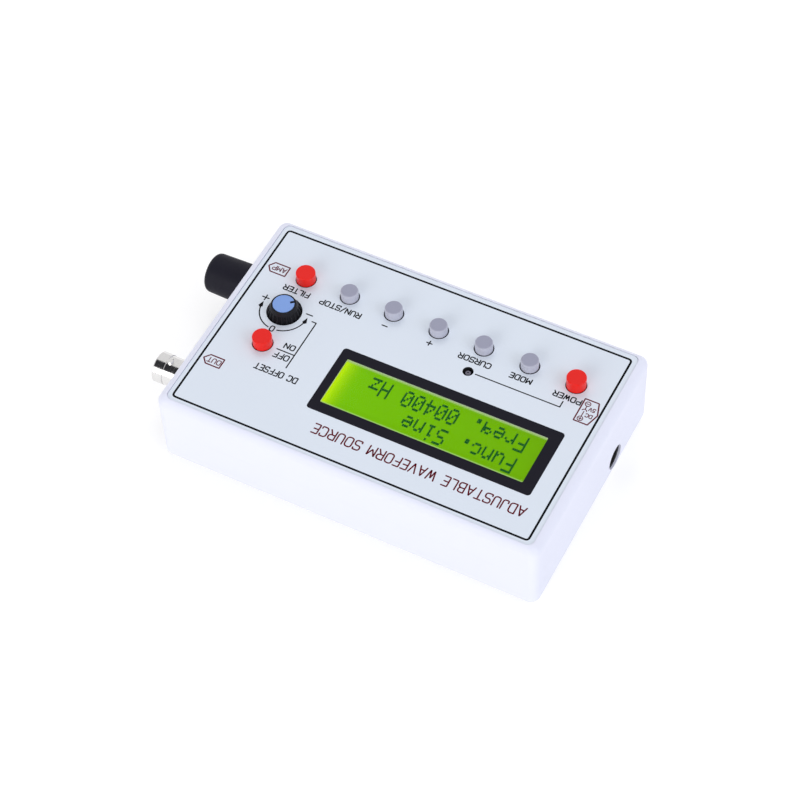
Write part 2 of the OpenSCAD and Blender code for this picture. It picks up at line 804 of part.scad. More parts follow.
module bnc_insulator() {
    color("ivory") along_x(bnc_y, part_z) difference() {
        union() {
            rod(3, bnc_rear + 0.5, bnc_seat);
            rod(4.05, bnc_seat, bnc_seat + 0.9);
            chamfered_rod(2.4, bnc_seat, bnc_tip - 0.9, 0.25);
        }
        rod(bnc_contact_r, bnc_rear - 1, bnc_tip);
    }
}

module bnc_centre_contact() {
    color("gold") along_x(bnc_y, part_z) difference() {
        rod(bnc_contact_r, bnc_rear - 2.1, bnc_tip - 1.3);
        rod(contact_bore_r, bnc_tip - 6.3, bnc_tip);
    }
}

module bnc_nut() {
    color("silver") along_x(bnc_y, part_z) hex_nut(6.9, 4.7, inner_x - 3, inner_x - 0.6);
}

module bnc_ground_washer() {
    color("gold") along_x(bnc_y, part_z) difference() {
        union() {
            rod(6.6, inner_x - 0.6, inner_x);
            translate([5, -1.2, inner_x - 0.6]) cube([5, 2.4, 0.6]);
        }
        rod(4.8, inner_x - 2, inner_x + 1);
    }
}

// ---- power inlet ---------------------------------------------------------------------------------

module dc_jack_housing() {
    color("black") difference() {
        union() {
            block([inlet_front + 1.7, inlet_y], [3.4, 9], board_z - 10.8, board_z);
            block([(inlet_front + inlet_back) / 2, inlet_y], [inlet_back - inlet_front, 9], inlet_z, board_z);
            along_x(inlet_y, inlet_z) rod(4.5 - EPS, inlet_front + 1, inlet_back);
        }
        along_x(inlet_y, inlet_z) {
            rod(inlet_bore_r, inlet_front - 1, inlet_front + inlet_depth);
            rod(inlet_root_r + 0.05, inlet_front, inlet_back + 1);
        }
        // slot for the side contact
        translate([inlet_front + 1.2, inlet_y - 1.5, inlet_z - 4]) cube([inlet_depth - 2, 3, 3]);
    }
}

module dc_jack_pin() {
    color("silver") {
        along_x(inlet_y, inlet_z) {
            rod(inlet_pin_r, inlet_front + 1.2, inlet_front + inlet_depth);
            rod(inlet_root_r, inlet_front + inlet_depth - EPS, inlet_back + 0.5);
            translate([0, 0, inlet_front + 1.2 - 0.6]) cylinder(r1 = inlet_pin_r - 0.4, r2 = inlet_pin_r, h = 0.6);
        }
        translate([inlet_back, inlet_y - 1.2, inlet_z - 1.2]) cube([0.5, 2.4, board_z - inlet_z + 0.8]);
        bar(inlet_leg, 0.25, board_z - 0.6, board_top + 0.6, $fn = 24);
    }
}

module dc_jack_spring() {
    // leaf that bows up into the bore to press on the plug's sleeve
    leaf = [[1.4, -3.75], [8.4, -3.75], [8.4, -3.35], [6.4, -3.1], [5, -2.5], [3.6, -3.1], [1.4, -3.35]];
    color("gold") translate([inlet_front, inlet_y + 1.3, inlet_z]) rotate([90, 0, 0])
        linear_extrude(2.6) polygon(leaf);
}

// ---- internal leads ------------------------------------------------------------------------------

lead_r = 0.55;
module signal_leads() {
    amp_lug_x = inner_x - 2.4;
    lead_z = 3.6;
    amp_joint_x = 47.2;
    color("orangered") {
        for (y = [-5, 0, 5]) wire([[amp_lug_x, amp_y + y, lead_z], [50, amp_y + y, lead_z],
                                   [amp_joint_x, amp_y + y, 8], [amp_joint_x, amp_y + y, board_z]], lead_r);
        wire([[bnc_rear - 2.1, bnc_y, part_z], [49.3, bnc_y, part_z], [49.3, bnc_y, 10.5],
              [45.5, bnc_y, 10.5], [45.5, bnc_y, board_z]], lead_r);
        wire([[inner_x - 0.6, bnc_y, 5], [47, bnc_y, 5], [42, bnc_y, 9], [42, bnc_y, board_z]], lead_r);
    }
}

// ---- output --------------------------------------------------------------------------------------

top_shell();
bottom_shell();
panel_overlay();
case_screws();
board_screws();
lcd_bezel();
lcd_glass();
lcd_backlight();
lcd_contact_strips();
lcd_board();
lcd_header();
lcd_spacers();
lcd_screws();
main_board();
microcontroller_chip();
signal_chips();
crystal();
capacitors();
voltage_regulator();
power_led();
tact_switch_housings();
latching_switch_housings();
mode_plunger();
mode_cap();
cursor_plunger();
cursor_cap();
plus_plunger();
plus_cap();
minus_plunger();
minus_cap();
run_stop_plunger();
run_stop_cap();
power_plunger();
power_cap();
power_spring();
offset_plunger();
offset_cap();
offset_spring();
filter_plunger();
filter_cap();
filter_spring();
offset_pot_body();
offset_pot_shaft();
offset_knob();
offset_knob_cap();
amp_pot_body();
amp_pot_bushing();
amp_pot_washer();
amp_pot_nut();
amp_pot_shaft();
amp_knob();
bnc_shell();
bnc_insulator();
bnc_centre_contact();
bnc_nut();
bnc_ground_washer();
dc_jack_housing();
dc_jack_pin();
dc_jack_spring();
signal_leads();
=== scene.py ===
"""Looks of a hand-held function generator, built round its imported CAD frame.

Every place comes from the frame's boxes. Lengths and places on the panel are in millimetres, in the
part's own frame: +X points to the output socket, +Y to the title edge and +Z up out of the panel.
"""

import json
import math

import bpy
from mathutils import Matrix, Vector


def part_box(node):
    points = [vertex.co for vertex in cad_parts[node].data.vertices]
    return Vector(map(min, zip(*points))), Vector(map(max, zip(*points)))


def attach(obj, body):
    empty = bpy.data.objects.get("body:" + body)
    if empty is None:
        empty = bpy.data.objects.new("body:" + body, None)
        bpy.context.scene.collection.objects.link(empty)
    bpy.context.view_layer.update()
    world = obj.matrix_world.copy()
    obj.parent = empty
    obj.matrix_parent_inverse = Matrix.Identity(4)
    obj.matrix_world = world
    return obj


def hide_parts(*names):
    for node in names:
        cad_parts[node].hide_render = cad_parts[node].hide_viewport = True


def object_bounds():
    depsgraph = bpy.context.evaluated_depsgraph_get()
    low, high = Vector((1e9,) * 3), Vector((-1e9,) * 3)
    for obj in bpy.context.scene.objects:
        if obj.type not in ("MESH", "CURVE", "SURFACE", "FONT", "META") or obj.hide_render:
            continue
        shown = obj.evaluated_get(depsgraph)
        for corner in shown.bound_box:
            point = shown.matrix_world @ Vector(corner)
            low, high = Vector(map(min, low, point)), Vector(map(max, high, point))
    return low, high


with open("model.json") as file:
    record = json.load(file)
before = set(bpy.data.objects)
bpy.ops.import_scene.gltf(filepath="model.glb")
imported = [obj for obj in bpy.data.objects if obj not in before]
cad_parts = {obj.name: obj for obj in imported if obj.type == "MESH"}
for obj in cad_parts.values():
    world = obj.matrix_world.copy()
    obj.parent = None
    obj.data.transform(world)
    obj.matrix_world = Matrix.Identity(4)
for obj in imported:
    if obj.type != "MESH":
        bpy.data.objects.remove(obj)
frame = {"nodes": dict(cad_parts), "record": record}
cad_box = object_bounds()
MM = 0.001


def box_mm(node):
    """Lowest and highest corner of a CAD node, in millimetres."""
    low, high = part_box(node)
    return low / MM, high / MM


def middle(node):
    """Centre of a CAD node in plan, in millimetres."""
    low, high = box_mm(node)
    return Vector(((low.x + high.x) / 2, (low.y + high.y) / 2))


# ---- camera, floor and light ---------------------------------------------------------------------

CAMERA_AZIMUTH = 209.99
CAMERA_ELEVATION = 53.21
CAMERA_ROLL = -3.203
CAMERA_DISTANCE = 0.70425
CAMERA_LENS = 110.4
CAMERA_AIM = Vector((-2.95, 7.59))


def add_camera():
    """A long lens that looks down on the panel from beyond its title edge."""
    data = bpy.data.cameras.new("camera")
    data.lens = CAMERA_LENS
    data.clip_start = 0.01
    camera = bpy.data.objects.new("camera", data)
    bpy.context.scene.collection.objects.link(camera)
    azimuth, elevation = math.radians(CAMERA_AZIMUTH), math.radians(CAMERA_ELEVATION)
    back = Vector((math.sin(azimuth) * math.cos(elevation),
                   -math.cos(azimuth) * math.cos(elevation), math.sin(elevation)))
    right = Vector((0, 0, 1)).cross(back).normalized()
    up = back.cross(right)
    level = Matrix((right, up, back)).transposed()
    rotation = level @ Matrix.Rotation(math.radians(CAMERA_ROLL), 3, "Z")
    aim = Vector((CAMERA_AIM.x, CAMERA_AIM.y, box_mm("panel_overlay")[1].z)) * MM
    camera.matrix_world = Matrix.Translation(aim + back * CAMERA_DISTANCE) @ rotation.to_4x4()
    bpy.context.scene.camera = camera


def add_floor():
    """A pale sheet that glows a little, like a light table."""
    size = 3.0
    corners = [(-size, -size, 0), (size, -size, 0), (size, size, 0), (-size, size, 0)]
    mesh = bpy.data.meshes.new("floor")
    mesh.from_pydata(corners, [], [(0, 1, 2, 3)])
    floor = bpy.data.objects.new("floor", mesh)
    floor.location.z = cad_box[0].z - 0.0002
    bpy.context.scene.collection.objects.link(floor)
    paper = Surface("floor_paper", (0.6, 0.6, 0.6), (0.85, 0.95), tone=0.004, grain_depth=0.0, specular=0.0)
    paper.shader.inputs["Emission Color"].default_value = (1, 1, 1, 1)
    paper.shader.inputs["Emission Strength"].default_value = 0.46
    mesh.materials.append(paper.material)


def add_world():
    """An even white studio with a darker patch overhead, which the bright metal mirrors."""
    world = bpy.data.worlds.new("studio")
    bpy.context.scene.world = world
    world.use_nodes = True
    tree = world.node_tree
    background = tree.nodes["Background"]
    direction = tree.nodes.new("ShaderNodeTexCoord").outputs["Generated"]
    towards = tree.nodes.new("ShaderNodeVectorMath")
    towards.operation = "DOT_PRODUCT"
    tree.links.new(direction, towards.inputs[0])
    towards.inputs[1].default_value = Vector((0.3, 0.35, 0.89)).normalized()
    patch = tree.nodes.new("ShaderNodeMapRange")
    patch.interpolation_type = "SMOOTHSTEP"
    tree.links.new(towards.outputs["Value"], patch.inputs["Value"])
    patch.inputs["From Min"].default_value = math.cos(math.radians(30))
    patch.inputs["From Max"].default_value = math.cos(math.radians(24))
    mix = tree.nodes.new("ShaderNodeMix")
    mix.data_type = "RGBA"
    tree.links.new(patch.outputs["Result"], mix.inputs[0])
    mix.inputs[6].default_value = (0.86, 0.86, 0.87, 1)
    mix.inputs[7].default_value = (0.03, 0.03, 0.035, 1)
    tree.links.new(mix.outputs[2], background.inputs["Color"])
    background.inputs["Strength"].default_value = 1.0


def add_lamp(name, place, size, power, colour=(1, 1, 1), mirrored=True):
    """A soft square lamp that faces the object, and may be kept out of its reflections."""
    data = bpy.data.lights.new(name, "AREA")
    data.shape = "SQUARE"
    data.color = colour
    data.size = size
    data.energy = power
    lamp = bpy.data.objects.new(name, data)
    lamp.location = place
    lamp.rotation_euler = (-Vector(place)).to_track_quat("-Z", "Y").to_euler()
    lamp.visible_glossy = mirrored
    lamp.visible_transmission = mirrored
    bpy.context.scene.collection.objects.link(lamp)


def add_lights():
    add_world()
    add_lamp("title_side_lamp", (0.25, 1.5, 0.6), 1.0, 10.5)
    add_lamp("far_side_lamp", (0.5, -0.9, 1.2), 0.8, 5.0, mirrored=False)
    add_lamp("inlet_side_lamp", (-1.3, 0.2, 0.8), 0.8, 4.7, (0.8, 0.86, 1.0))
    bpy.context.scene.view_settings.view_transform = "Standard"


# ---- materials -----------------------------------------------------------------------------------

NOISE_DETAIL = 3.0

class Surface:
    """A Principled material with a procedural tone, roughness and grain.

    colour is the mean base colour and rough the range of its roughness. Sizes are in millimetres.
    """

    def __init__(self, name, colour, rough, tone=0.03, tone_size=12.0, grain_size=0.25,
                 grain_depth=0.004, stretch=(1, 1, 1), edge=0.1, metallic=0.0, specular=0.5):
        self.material = bpy.data.materials.new(name)
        self.material.use_nodes = True
        self.tree = self.material.node_tree
        self.shader = self.tree.nodes["Principled BSDF"]
        self.place = self.add("ShaderNodeTexCoord").outputs["Object"]
        self.stretch = stretch
        self.shader.inputs["Metallic"].default_value = metallic
        self.shader.inputs["Specular IOR Level"].default_value = specular
        tones = [tuple(min(1.0, c * (1 + s * tone)) for c in colour) for s in (-1, 1)]
        self.plug("Base Color", self.blend(self.noise(tone_size), *tones))
        self.plug("Roughness", self.span(self.noise(grain_size * 6), *rough))
        if grain_depth:
            self.bump(self.noise(grain_size), grain_depth, edge)

    def add(self, kind, **settings):
        node = self.tree.nodes.new(kind)
        for key, value in settings.items():
            setattr(node, key, value)
        return node

    def feed(self, socket, value):
        """Sets a socket to a number or colour, or links another socket to it."""
        if isinstance(value, bpy.types.NodeSocket):
            self.tree.links.new(value, socket)
        elif isinstance(value, tuple):
            needs_alpha = len(value) == 3 and len(socket.default_value) == 4
            socket.default_value = (*value, 1) if needs_alpha else value
        else:
            socket.default_value = value

    def plug(self, name, value):
        self.feed(self.shader.inputs[name], value)

    def noise(self, size):
        """Soft random values from 0 to 1 that change over about that many millimetres."""
        spot = self.add("ShaderNodeMapping")
        self.feed(spot.inputs["Vector"], self.place)
        spot.inputs["Scale"].default_value = self.stretch
        node = self.add("ShaderNodeTexNoise")
        self.feed(node.inputs["Vector"], spot.outputs["Vector"])
        node.inputs["Scale"].default_value = 1 / (size * MM)
        node.inputs["Detail"].default_value = NOISE_DETAIL
        return node.outputs["Fac"]

    def span(self, value, low, high, start=0.3, stop=0.7):
        """Stretches a value between start and stop to run from low to high."""
        node = self.add("ShaderNodeMapRange")
        self.feed(node.inputs["Value"], value)
        for name, number in (("From Min", start), ("From Max", stop), ("To Min", low), ("To Max", high)):
            node.inputs[name].default_value = number
        return node.outputs["Result"]

    def blend(self, share, first, second):
        """A colour between two, by a share from 0 to 1."""
        node = self.add("ShaderNodeMix", data_type="RGBA")
        self.feed(node.inputs[0], share)
        self.feed(node.inputs[6], first)
        self.feed(node.inputs[7], second)
        return node.outputs[2]

    def maths(self, operation, first, second=0.0):
        """The result of a sum, product or comparison of two values."""
        node = self.add("ShaderNodeMath", operation=operation)
        self.feed(node.inputs[0], first)
        self.feed(node.inputs[1], second)
        return node.outputs[0]

    def axis(self, name):
        """The place along one axis, in metres."""
        node = self.add("ShaderNodeSeparateXYZ")
        self.feed(node.inputs[0], self.place)
        return node.outputs[name]

    def facing(self, name):
        """How much the surface faces along one axis, from -1 to 1."""
        node = self.add("ShaderNodeSeparateXYZ")
        self.feed(node.inputs[0], self.add("ShaderNodeTexCoord").outputs["Normal"])
        return node.outputs[name]

    def off_axis(self, centre):
        """Distance in metres from an upright axis through a centre given in millimetres."""
        gap = self.add("ShaderNodeVectorMath", operation="SUBTRACT")
        self.feed(gap.inputs[0], self.place)
        gap.inputs[1].default_value = (centre.x * MM, centre.y * MM, 0)
        flat = self.add("ShaderNodeVectorMath", operation="MULTIPLY")
        self.feed(flat.inputs[0], gap.outputs[0])
        flat.inputs[1].default_value = (1, 1, 0)
        span = self.add("ShaderNodeVectorMath", operation="LENGTH")
        self.feed(span.inputs[0], flat.outputs[0])
        return span.outputs["Value"]

    def off_axis_below(self, centre, reach):
        """1 inside an upright cylinder round a centre, and 0 outside it."""
        return self.maths("LESS_THAN", self.off_axis(centre), reach * MM)

    def above(self, name, limit):
        """1 where the place along an axis is past a limit in millimetres, and 0 before it."""
        return self.maths("GREATER_THAN", self.axis(name), limit * MM)

    def below(self, name, limit):
        """1 where the place along an axis is short of a limit in millimetres, and 0 past it."""
        return self.maths("LESS_THAN", self.axis(name), limit * MM)

    def bump(self, height, depth, edge):
        """Raises the grain by a depth in millimetres, on edges softened by a radius."""
        node = self.add("ShaderNodeBump")
        self.feed(node.inputs["Height"], height)
        node.inputs["Distance"].default_value = depth * MM
        if edge:
            soft = self.add("ShaderNodeBevel", samples=4)
            soft.inputs["Radius"].default_value = edge * MM
            self.feed(node.inputs["Normal"], soft.outputs["Normal"])
        self.plug("Normal", node.outputs["Normal"])

    def cover(self, mask, colour, rough, metallic=0.0):
        """Gives the surface another finish where the mask is 1."""
        for name, value in (("Base Color", colour), ("Roughness", rough), ("Metallic", metallic)):
            socket = self.shader.inputs[name]
            before = socket.links[0].from_socket if socket.is_linked else socket.default_value
            if name == "Base Color":
                self.plug(name, self.blend(mask, before, value))
                continue
            node = self.add("ShaderNodeMix", data_type="FLOAT")
            self.feed(node.inputs[0], mask)
            self.feed(node.inputs[2], before)
            self.feed(node.inputs[3], value)
            self.plug(name, node.outputs[0])


TIN = (0.72, 0.72, 0.7)
GOLD = (0.86, 0.62, 0.24)
PRESSED = (0.62, 0.62, 0.6)
BLACK = (0.014, 0.014, 0.016)
# near-black used as painted shade in holes and gaps
SHADE_BLACK = (0.008, 0.008, 0.011)
LED_HOLE = 1.6
PANEL_TOP = box_mm("panel_overlay")[1].z
BOARD = box_mm("main_board")
LCD_BOARD = box_mm("lcd_board")
BOARD_T = 1.6
CLEAR = 0.01


def plastic(name, colour, rough, grain=0.2, depth=0.004, edge=0.12, specular=0.25):
    return Surface(name, colour, rough, tone_size=2.5, grain_size=grain, grain_depth=depth, edge=edge,
                   specular=specular)


def metal(name, colour, rough, stretch=(1, 1, 1), grain=0.12, depth=0.002):
    return Surface(name, colour, rough, tone=0.05, tone_size=1.5, grain_size=grain, grain_depth=depth,
                   stretch=stretch, edge=0.08, metallic=1.0)


def case_white():
    """Satin moulded plastic with a fine spark-eroded grain, with painted shade: black in an upright column at
    the indicator.

    The column has no lower end, so besides the hole's wall it marks the case's floor and underside.
    """
    made = Surface("case_white", (0.72, 0.735, 0.85), (0.42, 0.52), tone=0.008, tone_size=30,
                   grain_size=0.16, grain_depth=0.006, edge=0.15, specular=0.4)
    # painted shade: the wall of the indicator's hole is painted black, as if in shadow
    made.cover(made.off_axis_below(middle("power_led"), LED_HOLE + 0.1), SHADE_BLACK, 0.8)
    return made


def panel_film():
    """Printed polyester film with a velvet face, and painted shade: a black edge round the indicator's hole.
    """
    made = Surface("panel_film", (0.665, 0.72, 0.80), (0.38, 0.5), tone=0.012, tone_size=18,
                   grain_size=0.09, grain_depth=0.002, edge=0, specular=0.35)
    # painted shade: the film's cut edge round the indicator's hole is painted black
    made.cover(made.off_axis_below(middle("power_led"), LED_HOLE + 0.03), SHADE_BLACK, 0.8)
    return made


def bezel_black():
    """Painted sheet metal, bare where its window was punched; the bare edge's pale greenish colour is partly
    a painted highlight.
    """
    made = Surface("bezel_black", (0.008, 0.0075, 0.014), (0.4, 0.55), tone=0.08, tone_size=6, grain_size=0.4,
                   grain_depth=0.006, edge=0.0, specular=0.12)
    low, high = box_mm("lcd_bezel")
    cut = made.below("Y", high.y - 2.5)
    for mask in (made.above("Y", low.y + 2.5), made.above("X", low.x + 2.5), made.below("X", high.x - 2.0),
                 made.above("Z", high.z - 0.55)):
        cut = made.maths("MULTIPLY", cut, mask)
    upright = made.maths("LESS_THAN", made.maths("ABSOLUTE", made.facing("Z")), 0.5)
    # bare metal at the window's cut edge, made pale and greenish as a painted highlight as well
    made.cover(made.maths("MULTIPLY", cut, upright), (0.72, 0.75, 0.66), 0.4, 0.6)
    return made


def elastomer():
    """Rubber strip with thin conducting layers across it."""
    made = plastic("elastomer", (0.5, 0.5, 0.5), (0.6, 0.75))
    layer = 0.18
    wave = made.maths("SINE", made.maths("MULTIPLY", made.axis("X"), 2 * math.pi / (layer * MM)))
    made.cover(made.maths("GREATER_THAN", wave, 0.0), (0.02, 0.02, 0.02), 0.7)
    return made


def laminate(name, board):
    """Green solder mask over a grid of traces, with bare glass-epoxy at the edges of the board."""
    made = plastic(name, (0.006, 0.085, 0.03), (0.3, 0.45), specular=0.5)
    traces = made.add("ShaderNodeTexBrick")
    made.feed(traces.inputs["Vector"], made.place)
    traces.inputs["Scale"].default_value = 1 / (12 * MM)
    traces.inputs["Mortar Size"].default_value = 0.012
    traces.inputs["Mortar Smooth"].default_value = 0.0
    made.cover(traces.outputs["Fac"], (0.02, 0.17, 0.06), 0.35)
    top, skin = board[1].z, 0.02
    core = made.maths("MULTIPLY", made.above("Z", top - BOARD_T + skin), made.below("Z", top - skin))
    made.cover(core, (0.45, 0.4, 0.2), 0.7)
    return made


def lcd_laminate():
    """The display's board, with black resin drops over its driver chips."""
    made = laminate("lcd_board_green", LCD_BOARD)
    made.cover(made.below("Z", LCD_BOARD[1].z - BOARD_T - CLEAR), (0.012, 0.012, 0.013), 0.25)
    return made


def legged(name, colour, rough, top, legs=TIN):
    """Moulded body whose soldered legs end below a height."""
    made = plastic(name, colour, rough)
    made.cover(made.below("Z", top), legs, 0.3, 1.0)
    return made


def tact_housing():
    """Dark base under a stamped metal cover."""
    made = legged("tact_housing", (0.03, 0.03, 0.032), (0.4, 0.5), BOARD[1].z)
    made.cover(made.above("Z", box_mm("tact_switch_housings")[1].z - 0.3), (0.6, 0.6, 0.6), 0.35, 1.0)
    return made


def pin_strip():
    """Black header strip between two lengths of gilt pins."""
    made = legged("pin_strip", BLACK, (0.4, 0.55), BOARD[1].z, GOLD)
    made.cover(made.above("Z", BOARD[1].z + 2.56), GOLD, 0.25, 1.0)
    return made


def epoxy(name):
    """Moulded chip package."""
    return plastic(name, (0.016, 0.016, 0.018), (0.5, 0.65), grain=0.12, depth=0.006)


def microcontroller():
    """Square package whose tinned leads lie outside the body's half size."""
    made = epoxy("microcontroller_chip")
    half = 5.01
    centre = middle("microcontroller_chip")
    for axis, at in (("X", centre.x), ("Y", centre.y)):
        reach = made.maths("ABSOLUTE", made.maths("SUBTRACT", made.axis(axis), at * MM))
        made.cover(made.maths("GREATER_THAN", reach, half * MM), TIN, 0.3, 1.0)
    return made


def signal_chip():
    """Packages under the board, with their leads in the gap between."""
    made = epoxy("signal_chips")
    made.cover(made.above("Z", BOARD[0].z - 0.301), TIN, 0.3, 1.0)
    return made


def regulator():
    """Epoxy body with a bare metal tab on one side and legs on the other."""
    made = plastic("regulator", (0.02, 0.02, 0.021), (0.5, 0.65), grain=0.12, depth=0.006)
    tab, legs = 5.79, 4.09
    low, high = box_mm("voltage_regulator")
    made.cover(made.above("Y", high.y - tab), TIN, 0.3, 1.0)
    made.cover(made.below("Y", low.y + legs), TIN, 0.3, 1.0)
    return made


def capacitor_sleeve():
    """Blue shrink sleeve with a pale stripe down one side and a bare aluminium end."""
    made = plastic("capacitor_sleeve", (0.01, 0.02, 0.09), (0.22, 0.32), specular=0.5)
    made.cover(made.maths("LESS_THAN", made.facing("X"), -0.8), (0.55, 0.58, 0.62), 0.35)
    made.cover(made.maths("LESS_THAN", made.facing("Z"), -0.7), (0.75, 0.75, 0.76), 0.3, 1.0)
    return made


def trimmer_body():
    """Green base with a bright collar round the shaft."""
    made = legged("pot_green", (0.02, 0.2, 0.1), (0.4, 0.5), BOARD[1].z + 0.001)
    collar_r = 3.95
    made.cover(made.off_axis_below(middle("offset_knob"), collar_r), PRESSED, 0.32, 1.0)
    return made


def pot_tan():
    """Phenolic track board behind a pressed can, with solder lugs that point down."""
    made = plastic("pot_tan", (0.33, 0.2, 0.09), (0.45, 0.6))
    track, can_r = 1.79, 8.2
    high = box_mm("amp_pot_body")[1]
    made.cover(made.below("X", high.x - track), PRESSED, 0.32, 1.0)
    made.cover(made.below("Z", high.z - 2 * can_r - CLEAR), TIN, 0.3, 1.0)
    return made


def led_clear():
    """Clear lens painted dark as painted shade, with the pale seat of its chip in the middle, on tinned legs.
    """
    # painted shade: the clear lens is given a near-black colour for the dark look through it
    made = plastic("led_clear", (0.008, 0.008, 0.012), (0.3, 0.4), depth=0.0, edge=0.0, specular=0.08)
    led, seat_r, bond_r, lens_h = middle("power_led"), 0.86, 0.28, 5.5
    made.cover(made.off_axis_below(led, seat_r), (0.2, 0.19, 0.24), 0.35)
    made.cover(made.off_axis_below(led, bond_r), (0.03, 0.03, 0.04), 0.25)
    made.cover(made.below("Z", box_mm("power_led")[1].z - lens_h), TIN, 0.3, 1.0)
    return made


def lcd_glass():
    """Clear glass with a coating that keeps its mirror image weak and green."""
    made = Surface("lcd_glass", (0.97, 1.0, 0.96), (0.03, 0.08), tone=0.0, grain_depth=0.0)
    made.plug("Transmission Weight", 1.0)
    made.plug("IOR", 1.45)
    made.plug("Specular Tint", (0.06, 0.3, 0.005))
    return made


def lcd_cell():
    """Lit liquid crystal layer, yellower beside the lamps at one end, with a painted reflection: pale strips
    along its long edges.
    """
    low, high = box_mm("lcd_glass")
    centre = middle("lcd_bezel")
    made = Surface("lcd_cell", (0.04, 0.2, 0.001), (0.5, 0.6), tone=0.02, grain_depth=0.0, specular=0.0)
    across = made.span(made.axis("X"), 0.0, 1.0, low.x * MM, high.x * MM)
    beside = made.span(made.axis("X"), 0.0, 1.0, (high.x - 9) * MM, (high.x - 2) * MM)
    even = made.blend(across, (0.16, 0.36, 0.0003), (0.19, 0.50, 0.0003))
    glow = made.blend(made.maths("POWER", beside, 2.6), even, (0.6, 0.88, 0.002))
    # painted reflection: pale glowing strips along both long edges of the cell
    near = made.span(made.axis("Y"), 0.0, 1.0, (centre.y + 7.2) * MM, (centre.y + 7.7) * MM)
    far = made.span(made.axis("Y"), 1.0, 0.0, (centre.y - 8.8) * MM, (centre.y - 8.2) * MM)
    glow = made.blend(made.maths("MAXIMUM", near, far), glow, (0.45, 0.62, 0.22))
    made.plug("Emission Color", glow)
    made.plug("Emission Strength", 0.85)
    return made


def lcd_dot():
    """Darkened dot that lets a little of the light through."""
    made = plastic("lcd_dot", (0.004, 0.03, 0.008), (0.5, 0.6), depth=0.0, edge=0.0, specular=0.0)
    made.plug("Emission Color", (0.006, 0.12, 0.018))
    made.plug("Emission Strength", 0.6)
    return made


def backlight():
    """Milky light guide."""
    made = plastic("backlight", (0.5, 0.8, 0.2), (0.3, 0.4))
    made.plug("Subsurface Weight", 0.2)
    return made


def button_cap(name, side, top):
    """Moulded cap, duller on top, with painted light: its sides a lighter tone than its top; and painted
    shade, black, where it stands in its hole.
    """
    made = plastic(name, side, (0.3, 0.4), depth=0.003, edge=0.15)
    # painted light: faces that look up take the darker top tone, and the sides keep the lighter tone
    made.cover(made.span(made.facing("Z"), 0.0, 1.0, 0.55, 0.95), top, 0.45)
    # painted shade: the cap is black below the panel's face, where it stands in the shadow of its hole
    made.cover(made.below("Z", PANEL_TOP - 0.05), SHADE_BLACK, 0.8)
    return made


# finishes by material slot, and by node where a node shares a slot with something that looks different
FINISHES = {
    "case_white": case_white,
    "panel_film": panel_film,
    "screw_steel": lambda: metal("screw_steel", (0.6, 0.6, 0.62), (0.25, 0.4)),
    "bezel_black": bezel_black,
    "lcd_glass": lcd_glass,
    "backlight": backlight,
    "elastomer": elastomer,
    "board_green": lambda: laminate("board_green", BOARD),
    "lcd_board": lcd_laminate,
    "black_plastic": lambda: plastic("black_plastic", BLACK, (0.4, 0.55)),
    "latching_switch_housings": lambda: legged("latch_housing", BLACK, (0.4, 0.55), BOARD[1].z),
    "lcd_header": pin_strip,
    "nylon": lambda: plastic("nylon", (0.75, 0.72, 0.62), (0.4, 0.5)),
    "chip_black": microcontroller,
    "signal_chips": signal_chip,
    "voltage_regulator": regulator,
    "crystal_can": lambda: metal("crystal_can", (0.72, 0.72, 0.7), (0.2, 0.32)),
    "capacitor_sleeve": capacitor_sleeve,
    "led_clear": led_clear,
    "switch_grey": tact_housing,
    "switch_stem": lambda: plastic("switch_stem", (0.02, 0.02, 0.02), (0.4, 0.5)),
    # each cap's side and top colours are one plastic in lit and shaded tones: painted light
    "cap_grey": lambda: button_cap("cap_grey", (0.46, 0.465, 0.55), (0.305, 0.31, 0.40)),
    "cap_red": lambda: button_cap("cap_red", (0.80, 0.014, 0.008), (0.74, 0.011, 0.007)),
    "spring_steel": lambda: metal("spring_steel", (0.6, 0.6, 0.6), (0.2, 0.35)),
    "pot_green": trimmer_body,
    "pot_tan": pot_tan,
    "shaft_metal": lambda: metal("shaft_metal", (0.75, 0.75, 0.76), (0.2, 0.35)),
    "knob_black": lambda: plastic("knob_black", (0.011, 0.011, 0.014), (0.35, 0.5), depth=0.005,
                                  specular=0.15),
    "amp_knob_black": lambda: plastic("amp_knob_black", (0.012, 0.0115, 0.019), (0.5, 0.62), depth=0.008,
                                      specular=0.12),
    "cap_blue": lambda: plastic("cap_blue", (0.195, 0.325, 0.67), (0.3, 0.42), depth=0.003),
    "nickel": lambda: metal("nickel", (0.78, 0.77, 0.76), (0.1, 0.2), stretch=(2, 0.4, 0.4), grain=0.4,
                            depth=0.004),
    "ptfe": lambda: plastic("ptfe", (0.85, 0.84, 0.81), (0.4, 0.5)),
    "gold_contact": lambda: metal("gold_contact", GOLD, (0.15, 0.28)),
    "wire_red": lambda: plastic("wire_red", (0.6, 0.03, 0.015), (0.35, 0.45)),
}


def dress_frame():
    """Gives every CAD node its finish."""
    made = {name: finish().material for name, finish in FINISHES.items()}
    for part in frame["record"]["subparts"]:
        node = frame["nodes"][part["node"]]
        for slot in node.material_slots:
            slot.material = made.get(part["node"], made[part["material_slot"]])
    return made


# ---- flat marks ----------------------------------------------------------------------------------


